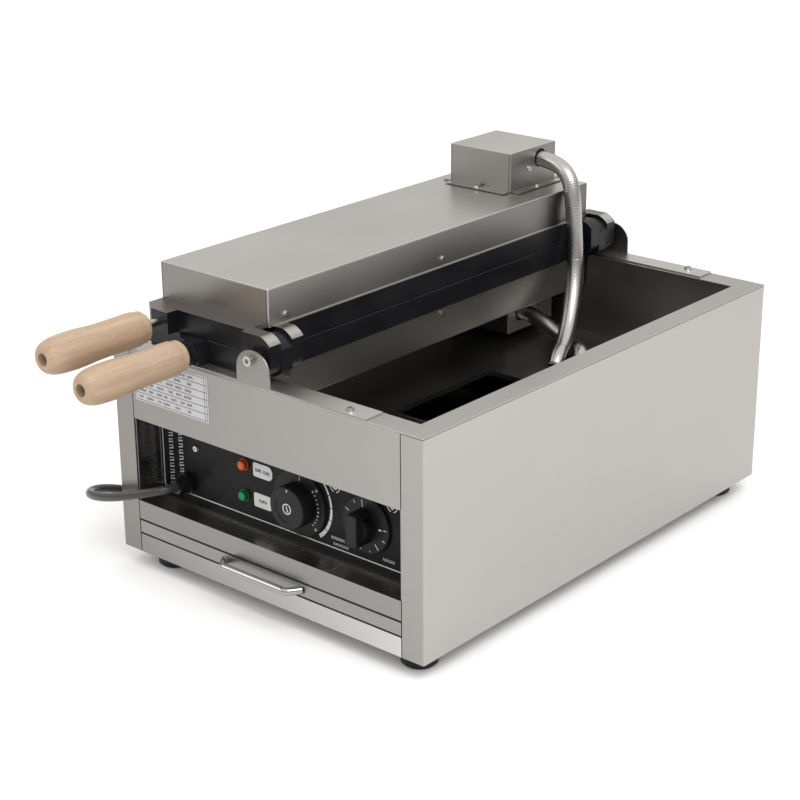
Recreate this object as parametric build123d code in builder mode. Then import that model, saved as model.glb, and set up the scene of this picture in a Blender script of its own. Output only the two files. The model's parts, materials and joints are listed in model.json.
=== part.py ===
from build123d import *
from math import radians, tan
import os

# Table-top waffle cone maker: a steel body with an open basin and a pair of hinged casting halves.
# Every dimension is in millimetres. The sub-parts are laid out from the body's own corner (left,
# front, bottom of the sheet metal) with at(x, y, z): x runs to the right, y to the back and z up. The
# origin of the model is the middle of the whole machine's footprint, on the surface it stands on.

os.makedirs("parts", exist_ok=True)

# ---- driving dimensions ---------------------------------------------------------------------------
WIDTH = 394.0
LENGTH = 560.0
BODY_H = 217.0
FOOT_H = 18.0
FOOT_R = 17.5
SHEET = 1.2
THIN = 1.0
GRIP_REACH = 139.0  # how far the longer grip stands out in front of the body
PIN_HEAD = 4.5  # how far the hinge pins stand out of the body, front and back

FLANGE = 25.0  # width of the bare flanges each side of the front openings
SEAM = 1.0  # open gaps round the front panel and the drawer front
LID_GAP = 0.5  # the deck's folded plate sits this far above the shell's sides
RECESS_Z = (56.0, 144.0)
RECESS_DEPTH = 33.0
DRAWER_Z = (21.1, 34.6)
STRIP_Z = 20.0
DRAWER_DEPTH = 500.0

BASIN_X = (23.5, 370.5)
BASIN_Y = (25.0, 532.0)
FLOOR_Z = 128.0
STEP_Y = 96.0  # the basin is shallower in front of this line, over the switchgear
STEP_Z = 160.0
DRIP_X = (190.0, 300.0)
DRIP_Y = (195.0, 350.0)

AXIS_X = 190.0  # hinge line, along y
AXIS_Z = 241.0
PIN_R = 3.0
BORE_R = 3.05
KNUCKLE_R = 18.5
POCKET_R = 22.8
UPPER_KNUCKLES = ((8.0, 22.8), (37.4, 52.4))
LOWER_KNUCKLES = ((23.1, 37.1),)

BRACKET_X = (55.0, 329.0)
BRACKET_SCREW_X = (80.0, 304.0)
BRACKET_W = 23.5
BRACKET_T = 1.5
EAR_TOP = 250.6
EAR_R = 20.0
BRACKET_SCREW_IN = 8.0  # from the body's edge

PLATE_X = (42.0, 187.0)
PLATE_Y = (13.5, 546.5)
PLATE_T = 21.5
MATE_GAP = 0.15  # half of the gap between the closed plates
CAVITY_R = 63.0
CAVITY_DEPTH = 1.5
CAVITY_PITCH = 150.0
LIP_H = 34.0
COVER_X = (42.0, 184.7)
COVER_Y = (30.3, 529.7)
COVER_H = 58.3
SCREW_Y = (53.0, 280.0, 507.0)
SCREW_H = 29.0
BOX_X = (66.0, 148.5)
BOX_Y = (438.0, 519.0)
BOX_H = 101.5
BOX_FLANGE = 10.5
LIFT = 0.8  # shadow gap under the box's flanges
ROD_R = 4.0
ROD_H = 11.0
NOSE_Y = 0.5  # front of the boss that takes the rod
HOSE_D = 17.6
HOSE_START = 144.0  # the conduits end inside the junction boxes
HOSE_FLOOR = {"upper": (243.0, 397.0), "lower": (254.0, 428.0)}  # where the conduits enter the floor
CORD_D = 9.0

# each half: side (+1 is the upper one), handle place across, the grip along y, length of the
# six-sided nose behind the grip, hose hole (y, h) and side screw (y, h)
HALVES = {
    "upper": {
        "side": 1, "rod_x": 69.0, "grip": (-GRIP_REACH, -19.7), "nose": 0.0,
        "hole": (491.0, 87.0), "rivet": (470.0, 80.0),
    },
    "lower": {
        "side": -1, "rod_x": 109.0, "grip": (-131.0, -11.2), "nose": 5.5,
        "hole": (461.0, 79.5), "rivet": (493.0, 82.0),
    },
}

# ---- the frame ------------------------------------------------------------------------------------
LEFT = -WIDTH / 2
FRONT = -(GRIP_REACH + LENGTH + PIN_HEAD) / 2 + GRIP_REACH
BASE = FOOT_H


def at(x, y, z):
    """A point given from the body's left front bottom corner."""
    return (LEFT + x, FRONT + y, BASE + z)


def slab(x, y, z, mode=Mode.ADD):
    """Add or cut a box between (low, high) pairs."""
    with Locations(at(sum(x) / 2, sum(y) / 2, sum(z) / 2)):
        Box(x[1] - x[0], y[1] - y[0], z[1] - z[0], mode=mode)


def bar(start, direction, radius, length, mode=Mode.ADD):
    """Add or cut a round bar that starts at a point and runs along a direction."""
    with Locations(Plane(origin=at(*start), z_dir=direction).location):
        Cylinder(radius, length, align=(Align.CENTER, Align.CENTER, Align.MIN), mode=mode)


def hexagon(start, direction, across_flats, height, mode=Mode.ADD):
    """Add or cut a hexagonal prism along a direction."""
    with BuildSketch(Plane(origin=at(*start), z_dir=direction)) as outline:
        RegularPolygon(across_flats / 2, 6, major_radius=False)
    extrude(outline.sketch, amount=height, mode=mode)


def pan_screw(start, direction, head_r, head_h, shank_r, shank):
    """A pan-head screw: the head stands out along the direction, the shank goes the other way."""
    into = tuple(-c for c in direction)
    with BuildSketch(Plane(origin=at(*start), z_dir=direction)) as head:
        Circle(head_r)
    extrude(head.sketch, amount=head_h, taper=18)
    bar(start, into, shank_r, shank)
    tip = tuple(s + head_h * d for s, d in zip(start, direction))
    with Locations(Plane(origin=at(*tip), z_dir=direction).location):
        for turn in (0, 90):
            Box(head_r, head_r * 0.22, head_h, rotation=(0, 0, turn), mode=Mode.SUBTRACT)


def save(piece, name):
    piece.part.label = name
    export_step(piece.part, f"parts/{name}.step")


OUT, BACK, UP, DOWN = (0, -1, 0), (0, 1, 0), (0, 0, 1), (0, 0, -1)

# ---- body: outer shell, top deck, basin -----------------------------------------------------------
with BuildPart() as outer_shell:
    slab((0, WIDTH), (0, LENGTH), (0, BODY_H - SHEET - LID_GAP))
    fillet(outer_shell.edges().filter_by(Axis.Z), 1.5)
    inner = ((SHEET, WIDTH - SHEET), (SHEET, LENGTH - SHEET), (-1, BODY_H))
    slab(*inner, mode=Mode.SUBTRACT)
    slab((FLANGE, WIDTH - FLANGE), (-1, 2 * SHEET), (-1, BODY_H), mode=Mode.SUBTRACT)
save(outer_shell, "outer_shell")

with BuildPart() as top_deck:
    slab((0, WIDTH), (0, LENGTH), (BODY_H - SHEET, BODY_H))
    fillet(top_deck.edges().filter_by(Axis.Z), 1.5)
    fillet(top_deck.faces().sort_by(Axis.Z)[-1].edges(), 0.8)
    # turned-down lips inside the shell, which carry the deck
    for x in ((SHEET, 2 * SHEET), (WIDTH - 2 * SHEET, WIDTH - SHEET)):
        slab(x, (2 * SHEET, LENGTH - 2 * SHEET), (BODY_H - 12, BODY_H - SHEET))
    slab(BASIN_X, BASIN_Y, (0, 2 * BODY_H), mode=Mode.SUBTRACT)
    for y in (BRACKET_SCREW_IN, LENGTH - BRACKET_SCREW_IN):
        for x in BRACKET_SCREW_X:
            bar((x, y, BODY_H - 5), UP, 2.6, 20, Mode.SUBTRACT)
save(top_deck, "top_deck")

RIM_Z = BODY_H - SHEET
with BuildPart() as basin_liner:
    grow_x = (BASIN_X[0] - THIN, BASIN_X[1] + THIN)
    slab(grow_x, (BASIN_Y[0] - THIN, BASIN_Y[1] + THIN), (STEP_Z - THIN, RIM_Z))
    slab(grow_x, (STEP_Y - THIN, BASIN_Y[1] + THIN), (FLOOR_Z - THIN, STEP_Z))
    slab(BASIN_X, BASIN_Y, (STEP_Z, BODY_H), mode=Mode.SUBTRACT)
    slab(BASIN_X, (STEP_Y, BASIN_Y[1]), (FLOOR_Z, STEP_Z + 1), mode=Mode.SUBTRACT)
    # turned-up edge round the drip opening
    rim = 1.6
    slab((DRIP_X[0] - rim, DRIP_X[1] + rim), (DRIP_Y[0] - rim, DRIP_Y[1] + rim), (FLOOR_Z, FLOOR_Z + 5))
    slab(DRIP_X, DRIP_Y, (0, STEP_Z), mode=Mode.SUBTRACT)
    # holes for the two conduit glands
    for x, y in HOSE_FLOOR.values():
        bar((x, y, FLOOR_Z - 5), UP, 8.2, 20, Mode.SUBTRACT)
save(basin_liner, "basin_liner")

# ---- body: front ----------------------------------------------------------------------------------
FRONT_X = (FLANGE + SEAM, WIDTH - FLANGE - SEAM)
with BuildPart() as front_panel:
    slab(FRONT_X, (0, SHEET), (RECESS_Z[1], RIM_Z))
    slab(FRONT_X, (0, 12), (RIM_Z - SHEET, RIM_Z))
    fillet(front_panel.edges().filter_by(Axis.X).group_by(Axis.Y)[0].sort_by(Axis.Z)[-1], 1.0)
save(front_panel, "front_panel")

with BuildPart() as control_recess:
    slab(FRONT_X, (SHEET, RECESS_DEPTH), (RECESS_Z[0] - SHEET, RECESS_Z[1]))
    slab(FRONT_X, (0, SHEET), (DRAWER_Z[1] + 1.3, RECESS_Z[0]))
    open_x = (FRONT_X[0] + THIN, FRONT_X[1] - THIN)
    slab(open_x, (-1, RECESS_DEPTH + 1), (RECESS_Z[0], RECESS_Z[1] - THIN), mode=Mode.SUBTRACT)
save(control_recess, "control_recess")

GLAND = (64.0, 75.0)
PANEL_SCREW = (77.2, 114.3)
LAMPS = {"heating_lamp": (143.2, 115.6), "power_lamp": (142.8, 83.4)}
LABELS = {"heating": 114.2, "power": 83.0}  # heights of their middles
THERMOSTAT = (217.0, 97.0)
TIMER = (300.0, 99.0)
PANEL_Y = (RECESS_DEPTH, RECESS_DEPTH + 1.5)
with BuildPart() as control_panel:
    slab(FRONT_X, PANEL_Y, (RECESS_Z[0] - SHEET, RECESS_Z[1]))
    for x, z in LAMPS.values():
        bar((x, 0, z), BACK, 5.1, 50, Mode.SUBTRACT)
    for x, z in (THERMOSTAT, TIMER):
        bar((x, 0, z), BACK, 5.0, 50, Mode.SUBTRACT)
    bar((GLAND[0], 0, GLAND[1]), BACK, 8.1, 50, Mode.SUBTRACT)
    bar((PANEL_SCREW[0], 0, PANEL_SCREW[1]), BACK, 2.1, 50, Mode.SUBTRACT)
save(control_panel, "control_panel")

with BuildPart() as base_plate:
    slab((SHEET, WIDTH - SHEET), (SHEET, LENGTH - SHEET), (0, SHEET))
    slab(FRONT_X, (0, SHEET), (0, STRIP_Z))
    with Locations([at(WIDTH / 2, y, 0) for y in range(150, 500, 20)]):
        Box(160, 5, 10, mode=Mode.SUBTRACT)
save(base_plate, "base_plate")

with BuildPart() as drawer_runners:
    for x in ((SHEET + 0.2, 22.0), (WIDTH - 22.0, WIDTH - SHEET - 0.2)):
        slab(x, (4, 515), (SHEET, STRIP_Z - 1.0))
        slab((x[0] + 1.2, x[1] - 1.2), (3, 516), (SHEET - 1, STRIP_Z - 2.2), mode=Mode.SUBTRACT)
save(drawer_runners, "drawer_runners")

FEET = {
    "foot_front_left": (42.0, 30.0),
    "foot_front_right": (WIDTH - 30.0, 30.0),
    "foot_rear_left": (42.0, LENGTH - 30.0),
    "foot_rear_right": (WIDTH - 30.0, LENGTH - 30.0),
}
for name, (x, y) in FEET.items():
    with BuildPart() as foot:
        bar((x, y, -FOOT_H), UP, FOOT_R, FOOT_H)
        chamfer(foot.edges().group_by(Axis.Z)[0], 2.5)
        bar((x, y, -FOOT_H), UP, 6.5, 7, Mode.SUBTRACT)
        bar((x, y, -FOOT_H), UP, 2.6, FOOT_H, Mode.SUBTRACT)
    save(foot, name)

PULL_X = (145.5, 246.5)
PULL_Z = 27.6
PULL_OUT = 12.5
with BuildPart() as drawer_tray:
    tray_x, tray_y = (FRONT_X[0] + 2.0, FRONT_X[1] - 2.0), (SHEET, DRAWER_DEPTH)
    slab(tray_x, tray_y, (DRAWER_Z[0] + 1, DRAWER_Z[1] - 2.5))
    slab((FRONT_X[0] + 0.2, FRONT_X[1] - 0.2), (0, SHEET), DRAWER_Z)
    inside_x = (tray_x[0] + THIN, tray_x[1] - THIN)
    slab(inside_x, (2 * SHEET, DRAWER_DEPTH - THIN), (DRAWER_Z[0] + 1 + THIN, 90), mode=Mode.SUBTRACT)
    for x in PULL_X:
        bar((x, -1, PULL_Z), BACK, 1.5, 10, Mode.SUBTRACT)
save(drawer_tray, "drawer_tray")

with BuildPart() as drawer_handle:
    corners = [(PULL_X[0], 0), (PULL_X[0] + 9, -PULL_OUT), (PULL_X[1] - 9, -PULL_OUT), (PULL_X[1], 0)]
    with BuildLine() as pull_line:
        FilletPolyline(*[at(x, y, PULL_Z) for x, y in corners], radius=8)
    with BuildSketch(Plane(origin=pull_line.line @ 0, z_dir=pull_line.line % 0)):
        Circle(4.0)
    sweep(path=pull_line.line)
    slab((0, WIDTH), (0, 20), (0, 60), mode=Mode.SUBTRACT)
save(drawer_handle, "drawer_handle")

with BuildPart() as drawer_handle_screws:
    for x in PULL_X:
        pan_screw((x, SHEET * 2, PULL_Z), BACK, 3.4, 2.2, 1.4, 1.0)
save(drawer_handle_screws, "drawer_handle_screws")

# ---- hinge brackets, pins and nuts ----------------------------------------------------------------
BRACKETS = (("hinge_bracket_front", 0.0, 1, 192.5, 20.7), ("hinge_bracket_rear", LENGTH, -1, 198.5, 22.5))
for name, edge, inward, ear_x, ear_half in BRACKETS:
    with BuildPart() as bracket:
        across = tuple(sorted((edge, edge + inward * BRACKET_W)))
        slab(BRACKET_X, across, (BODY_H, BODY_H + BRACKET_T))
        fillet(bracket.edges().filter_by(Axis.Z), 1.2)
        thick = tuple(sorted((edge, edge + inward * BRACKET_T)))
        ear_h = EAR_TOP - BODY_H
        with BuildSketch(Plane(origin=at(ear_x, thick[1], BODY_H), x_dir=(1, 0, 0), z_dir=OUT)):
            RectangleRounded(2 * ear_half, 2 * ear_h, EAR_R)
            with Locations((0, ear_h / 2)):
                Rectangle(2 * ear_half, ear_h, mode=Mode.INTERSECT)
        extrude(amount=BRACKET_T)
        bar((AXIS_X, edge - inward * 5, AXIS_Z), (0, inward, 0), BORE_R, 12, Mode.SUBTRACT)
        for x in BRACKET_SCREW_X:
            bar((x, edge + inward * BRACKET_SCREW_IN, BODY_H - 5), UP, 2.6, 20, Mode.SUBTRACT)
    save(bracket, name)

for name, edge, inward in (("hinge_pin_front", 0.0, 1), ("hinge_pin_rear", LENGTH, -1)):
    with BuildPart() as pin:
        way, out = (0, inward, 0), (0, -inward, 0)
        bar((AXIS_X, edge, AXIS_Z), way, PIN_R, 52.0)
        with BuildSketch(Plane(origin=at(AXIS_X, edge, AXIS_Z), z_dir=out)):
            Circle(5.0)
        extrude(amount=PIN_HEAD, taper=3)
        hexagon((AXIS_X, edge - inward * PIN_HEAD, AXIS_Z), way, 5.0, 3.0, Mode.SUBTRACT)
        chamfer(pin.edges().group_by(Axis.Y)[-1 if inward > 0 else 0], 0.8)
    save(pin, name)

with BuildPart() as hinge_nuts:
    for edge, inward in ((0.0, 1), (LENGTH, -1)):
        hexagon((AXIS_X, edge + inward * (BRACKET_T + 0.1), AXIS_Z), (0, inward, 0), 11.0, 5.0)
        bar((AXIS_X, edge, AXIS_Z), (0, inward, 0), PIN_R, 12, Mode.SUBTRACT)
save(hinge_nuts, "hinge_nuts")

# ---- screws of the body ---------------------------------------------------------------------------
with BuildPart() as body_screws:
    for edge, inward in ((0.0, 1), (LENGTH, -1)):
        for x in BRACKET_SCREW_X:
            pan_screw((x, edge + inward * BRACKET_SCREW_IN, BODY_H + BRACKET_T), UP, 4.2, 2.6, 2.5, 2.6)
    pan_screw((PANEL_SCREW[0], PANEL_Y[0], PANEL_SCREW[1]), OUT, 3.6, 2.4, 2.0, 6.0)
    for x, y in FEET.values():
        pan_screw((x, y, 7 - FOOT_H), DOWN, 4.6, 2.8, 2.4, 11.0)
save(body_screws, "body_screws")

# ---- controls -------------------------------------------------------------------------------------
with BuildPart() as rating_plate:
    slab((31.0, 132.5), (-0.4, 0), (164.5, 210.5))
    fillet(rating_plate.edges().filter_by(Axis.Y), 1.0)
save(rating_plate, "rating_plate")

for name, (x, z) in LAMPS.items():
    with BuildPart() as lamp:
        bar((x, PANEL_Y[0], z), BACK, 5.0, 24)
        with BuildSketch(Plane(origin=at(x, PANEL_Y[0], z), z_dir=OUT)):
            Circle(6.0)
        extrude(amount=1.4)
        with BuildSketch(Plane(origin=at(x, PANEL_Y[0] - 1.4, z), z_dir=OUT)):
            Circle(5.4)
        extrude(amount=4.6, taper=6)
        fillet(lamp.faces().sort_by(Axis.Y)[0].edges(), 2.4)
    save(lamp, name)

with BuildPart() as lamp_labels:
    for z in LABELS.values():
        slab((155.2, 180.4), (PANEL_Y[0] - 0.5, PANEL_Y[0]), (z - 7.2, z + 7.2))
    round_end = lamp_labels.edges().filter_by(Axis.Y).group_by(Axis.X)
    fillet(round_end[0], 2.0)
    fillet(lamp_labels.edges().filter_by(Axis.Y).filter_by(GeomType.LINE).group_by(Axis.X)[-1], 5.8)
save(lamp_labels, "lamp_labels")

KNOB_BORE = 3.05
with BuildPart() as thermostat_knob:
    x, z = THERMOSTAT
    with BuildSketch(Plane(origin=at(x, 0, z), x_dir=(1, 0, 0), z_dir=(0, 0, 1))) as profile:
        with BuildLine():
            Polyline(
                (0, 13.6), (13, 13.6), (15, 12.8), (21.3, 12.8), (21.3, 29.4),
                (32.7, 29.8), (33.2, 31.4), (33.2, 32.2), (0, 32.2), (0, 13.6),
            )
        make_face()
    revolve(axis=Axis(at(x, 0, z), (0, 1, 0)))
    rims = thermostat_knob.edges().filter_by(GeomType.CIRCLE).group_by(Axis.Y)[0]
    fillet(rims.sort_by(SortBy.RADIUS)[-1], 1.4)
    bar((x, 40, z), OUT, KNOB_BORE, 20, Mode.SUBTRACT)
save(thermostat_knob, "thermostat_knob")

with BuildPart() as timer_knob:
    x, z = TIMER
    bar((x, 29.4, z), BACK, 28.5, 2.8)
    chamfer(timer_knob.edges().group_by(Axis.Y)[0], 1.0)
    with BuildSketch(Plane(origin=at(x, 29.4, z), z_dir=OUT)):
        Circle(16.6)
    extrude(amount=19.4, taper=2)
    for side in (-1, 1):
        cut = sorted((side * 6.4, side * 30.0))
        slab((x + cut[0], x + cut[1]), (0, 29.4), (z - 30, z + 30), mode=Mode.SUBTRACT)
    chamfer(timer_knob.faces().sort_by(Axis.Y)[0].edges(), 0.7)
    bar((x, 18.5, z), BACK, 11.8, 11)
    bar((x, 40, z), OUT, KNOB_BORE, 20, Mode.SUBTRACT)
save(timer_knob, "timer_knob")

for name, (x, z) in (("thermostat_shaft", THERMOSTAT), ("timer_shaft", TIMER)):
    with BuildPart() as shaft:
        bar((x, 21.0, z), BACK, 3.0, 22.0)
        chamfer(shaft.edges().group_by(Axis.Y)[0], 0.6)
    save(shaft, name)

with BuildPart() as thermostat_body:
    x, z = THERMOSTAT
    bar((x, 37.0, z), BACK, 20.0, 18)
    bar((x, PANEL_Y[1], z), BACK, 8.0, 4)
    slab((x - 16, x + 16), (54, 76), (z - 12, z + 12))
    for side in (-1, 1):
        slab((x + side * 9 - 3, x + side * 9 + 3), (75, 84), (z - 0.5, z + 0.5))
    bar((x, 30.0, z), BACK, KNOB_BORE, 14, Mode.SUBTRACT)
save(thermostat_body, "thermostat_body")

with BuildPart() as timer_body:
    x, z = TIMER
    slab((x - 22, x + 22), (38, 74), (z - 26, z + 26))
    fillet(timer_body.edges().filter_by(Axis.Y), 4)
    bar((x, PANEL_Y[1], z), BACK, 8.0, 5)
    for side in (-1, 1):
        slab((x + side * 9 - 3, x + side * 9 + 3), (73, 83), (z - 0.5, z + 0.5))
    bar((x, 30.0, z), BACK, KNOB_BORE, 14, Mode.SUBTRACT)
save(timer_body, "timer_body")

with BuildPart() as terminal_block:
    slab((90, 130), (60, 82), (128 + 8, 128 + 24))
    for k in range(3):
        bar((98 + 12 * k, 71, 146), UP, 3.0, 10, Mode.SUBTRACT)
save(terminal_block, "terminal_block")

with BuildPart() as cord_gland:
    x, z = GLAND
    bar((x, PANEL_Y[0], z), BACK, 8.0, 9)
    hexagon((x, PANEL_Y[0], z), OUT, 20.0, 4.0)
    bar((x, PANEL_Y[0] - 4, z), OUT, 10.6, 2.5)
    with BuildSketch(Plane(origin=at(x, PANEL_Y[0] - 6.5, z), z_dir=OUT)) as cap:
        Circle(9.6)
    extrude(cap.sketch, amount=11.5, taper=12)
    for turn in range(12):
        spot = Plane(origin=at(x, PANEL_Y[0] - 11, z), z_dir=OUT).location * Rotation(0, 0, 30 * turn)
        with Locations(spot * Location((9.5, 0, 0))):
            Box(0.9, 0.9, 9.0, mode=Mode.SUBTRACT)
    # lock nut behind the panel
    hexagon((x, PANEL_Y[1], z), BACK, 20.0, 4.0)
    bar((x, 60, z), OUT, CORD_D / 2 + 0.1, 60, Mode.SUBTRACT)
save(cord_gland, "cord_gland")

# ---- the two mould halves -------------------------------------------------------------------------


def knuckle(side, y, top=True):
    """One hinge knuckle with its arm: flat outside, rounded corner, round under the pin."""
    h = side * PLATE_T
    with BuildSketch(Plane(origin=at(AXIS_X, y[1], AXIS_Z), x_dir=(1, 0, 0), z_dir=OUT)) as outline:
        with BuildLine():
            Polyline((-KNUCKLE_R, 0), (-KNUCKLE_R, h), (5.2, h))
            ThreePointArc((5.2, h), (11.8, side * 18.7), (17.2, side * 13.8))
            Line((17.2, side * 13.8), (17.2, -side * 7.0))
            ThreePointArc((17.2, -side * 7.0), (12.8, -side * 13.6), (0, -side * KNUCKLE_R))
            diagonal = -KNUCKLE_R * 0.70711
            ThreePointArc((0, -side * KNUCKLE_R), (diagonal, side * diagonal), (-KNUCKLE_R, 0))
        make_face()
    extrude(outline.sketch, amount=y[1] - y[0])


def mirrored(ranges):
    """The same y ranges at the back end of the machine."""
    return [tuple(sorted((LENGTH - a, LENGTH - b))) for a, b in ranges]


def mould_plate(half):
    """A cast plate: boss for the handle, lip for the cover, knuckles, pockets and three cavities."""
    side, rod_x = half["side"], half["rod_x"]
    own, other = (UPPER_KNUCKLES, LOWER_KNUCKLES) if side > 0 else (LOWER_KNUCKLES, UPPER_KNUCKLES)
    own = list(own) + mirrored(own)
    other = list(other) + mirrored(other)

    def heights(a, b):
        return tuple(sorted((AXIS_Z + side * a, AXIS_Z + side * b)))

    with BuildPart() as plate:
        slab(PLATE_X, PLATE_Y, heights(MATE_GAP, PLATE_T))
        chamfer(plate.faces().sort_by(Axis.Z)[0 if side > 0 else -1].edges(), 0.6)
        with BuildSketch(Plane(origin=at(rod_x, PLATE_Y[0], heights(MATE_GAP, PLATE_T)[0]))):
            with BuildLine():
                Polyline((-27, 0.5), (-12, -11.5), (12, -13), (12, 0.5), (-27, 0.5))
            make_face()
        extrude(amount=PLATE_T - MATE_GAP)
        if half["nose"]:
            nose = at(rod_x, NOSE_Y - half["nose"], AXIS_Z + side * ROD_H)
            with BuildSketch(Plane(origin=nose, x_dir=(1, 0, 0), z_dir=BACK)) as nose_face:
                RegularPolygon(10.5, 6, major_radius=False)
            extrude(nose_face.sketch, amount=half["nose"] + 1.0)
        lip_x, lip_y = (COVER_X[0] + 1.2, COVER_X[1] - 1.2), (COVER_Y[0] + 1.2, COVER_Y[1] - 1.2)
        slab(lip_x, lip_y, heights(PLATE_T, LIP_H))
        hollow_x, hollow_y = (COVER_X[0] + 9, COVER_X[1] - 9), (COVER_Y[0] + 9, COVER_Y[1] - 9)
        slab(hollow_x, hollow_y, heights(PLATE_T, 60), mode=Mode.SUBTRACT)
        for y0, y1 in other:
            bar((AXIS_X, y0 - 0.3, AXIS_Z), BACK, POCKET_R, y1 - y0 + 0.6, Mode.SUBTRACT)
        for y in own:
            knuckle(side, y)
        for y0, y1 in own:
            bar((AXIS_X, y0 - 1, AXIS_Z), BACK, BORE_R, y1 - y0 + 2, Mode.SUBTRACT)
        for y in SCREW_Y:
            for x in COVER_X:
                bar((x - 8, y, AXIS_Z + side * SCREW_H), (1, 0, 0), 2.0, 16, Mode.SUBTRACT)
        middle = sum(PLATE_X) / 2
        for k in (-1, 0, 1):
            start = (middle, LENGTH / 2 + k * CAVITY_PITCH, AXIS_Z)
            bar(start, (0, 0, side), CAVITY_R, CAVITY_DEPTH + MATE_GAP, Mode.SUBTRACT)
        bar((rod_x, -10, AXIS_Z + side * ROD_H), BACK, ROD_R, 32, Mode.SUBTRACT)
    return plate


def corner_seams(x, y, heights):
    """The open folded seams on the end faces, one sheet in from each upright corner."""
    for end_x, way in ((x[0], 1), (x[1], -1)):
        across = tuple(sorted((end_x + way * 1.7, end_x + way * 2.3)))
        for end_y, inward in ((y[0], 1), (y[1], -1)):
            deep = tuple(sorted((end_y - inward, end_y + inward * 0.7)))
            slab(across, deep, tuple(sorted(heights)), mode=Mode.SUBTRACT)


def cover_of(half):
    """The folded steel cover over the heater, open towards the plate."""
    side = half["side"]
    low, high = sorted((AXIS_Z + side * PLATE_T, AXIS_Z + side * COVER_H))
    with BuildPart() as cover:
        slab(COVER_X, COVER_Y, (low, high))
        outer = cover.faces().sort_by(Axis.Z)[-1 if side > 0 else 0].edges()
        fillet(cover.edges().filter_by(Axis.Z) + outer, 1.6)
        inside_z = (low - 1, high - THIN) if side > 0 else (low + THIN, high + 1)
        slab(
            (COVER_X[0] + THIN, COVER_X[1] - THIN), (COVER_Y[0] + THIN, COVER_Y[1] - THIN),
            inside_z, mode=Mode.SUBTRACT,
        )
        corner_seams(COVER_X, COVER_Y, (AXIS_Z + side * (PLATE_T - 5), AXIS_Z + side * (COVER_H - 1.5)))
        bar((107, 478, AXIS_Z), (0, 0, side), 10, 80, Mode.SUBTRACT)
        for y in SCREW_Y:
            bar((0, y, AXIS_Z + side * SCREW_H), (1, 0, 0), 2.1, WIDTH, Mode.SUBTRACT)
    return cover


FLANGE_SCREWS = (
    (107.0, BOX_Y[0] - 5.5), (BOX_X[1] + 5.5, 478.0), (BOX_X[0] - 5.5, 478.0), (107.0, BOX_Y[1] + 5.0),
)


def screws_of(half):
    """Cover screws along both long sides, the junction box's flange screws and its side screw."""
    side = half["side"]
    with BuildPart() as screws:
        for y in SCREW_Y:
            z = AXIS_Z + side * SCREW_H
            pan_screw((COVER_X[0], y, z), (-1, 0, 0), 3.8, 2.4, 2.0, 7.0)
            pan_screw((COVER_X[1], y, z), (1, 0, 0), 3.8, 2.4, 2.0, 7.0)
        for x, y in FLANGE_SCREWS:
            seat = (x, y, AXIS_Z + side * (COVER_H + LIFT + THIN))
            pan_screw(seat, (0, 0, side), 3.4, 2.0, 1.5, LIFT + THIN)
        y, h = half["rivet"]
        pan_screw((BOX_X[1], y, AXIS_Z + side * h), (1, 0, 0), 3.4, 2.2, 1.0, THIN)
    return screws


def junction_box(half):
    """The folded terminal box on the cover, open towards it, with four screwed flanges."""
    side = half["side"]
    low, high = sorted((AXIS_Z + side * COVER_H, AXIS_Z + side * BOX_H))
    foot = tuple(sorted((AXIS_Z + side * (COVER_H + LIFT), AXIS_Z + side * (COVER_H + LIFT + THIN))))
    with BuildPart() as box:
        slab(BOX_X, BOX_Y, (low, high))
        outer = box.faces().sort_by(Axis.Z)[-1 if side > 0 else 0].edges()
        fillet(box.edges().filter_by(Axis.Z) + outer, 1.2)
        slab((BOX_X[0] - BOX_FLANGE, BOX_X[1] + BOX_FLANGE), (BOX_Y[0] + 1, BOX_Y[1] - 1), foot)
        slab((BOX_X[0] + 1, BOX_X[1] - 1), (BOX_Y[0] - BOX_FLANGE, BOX_Y[1] + BOX_FLANGE), foot)
        inside_z = (low - 1, high - THIN) if side > 0 else (low + THIN, high + 1)
        slab(
            (BOX_X[0] + THIN, BOX_X[1] - THIN), (BOX_Y[0] + THIN, BOX_Y[1] - THIN),
            inside_z, mode=Mode.SUBTRACT,
        )
        corner_seams(BOX_X, BOX_Y, (AXIS_Z + side * (COVER_H + LIFT + THIN), AXIS_Z + side * (BOX_H - 1.3)))
        y, h = half["hole"]
        bar((BOX_X[1] - 10, y, AXIS_Z + side * (h + 1)), (1, 0, 0), 10.2, 20, Mode.SUBTRACT)
        y, h = half["rivet"]
        bar((BOX_X[1] - 10, y, AXIS_Z + side * h), (1, 0, 0), 1.1, 20, Mode.SUBTRACT)
        for x, y in FLANGE_SCREWS:
            bar((x, y, AXIS_Z + side * 50), (0, 0, side), 1.6, 20, Mode.SUBTRACT)
    return box


def heater(half):
    """A tubular element bent into a flat serpentine on the plate's back."""
    side = half["side"]
    h = AXIS_Z + side * (PLATE_T + 4.1)
    turns = [(60, 470), (60, 60), (100, 60), (100, 440), (130, 440), (130, 60), (168, 60), (168, 470)]
    with BuildPart() as element:
        with BuildLine() as route:
            FilletPolyline(*[at(x, y, h) for x, y in turns], radius=14)
        with BuildSketch(Plane(origin=route.line @ 0, z_dir=route.line % 0)):
            Circle(4.0)
        sweep(path=route.line)
    return element


def insulation(half):
    """A mineral wool mat between the heater and the cover."""
    side = half["side"]
    z = tuple(sorted((AXIS_Z + side * (LIP_H + 1), AXIS_Z + side * (COVER_H - 5))))
    with BuildPart() as mat:
        slab((COVER_X[0] + 4, COVER_X[1] - 4), (COVER_Y[0] + 4, COVER_Y[1] - 4), z)
        fillet(mat.edges().filter_by(Axis.Z), 6)
        bar((107, 478, AXIS_Z), (0, 0, side), 12, 80, Mode.SUBTRACT)
    return mat


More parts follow.
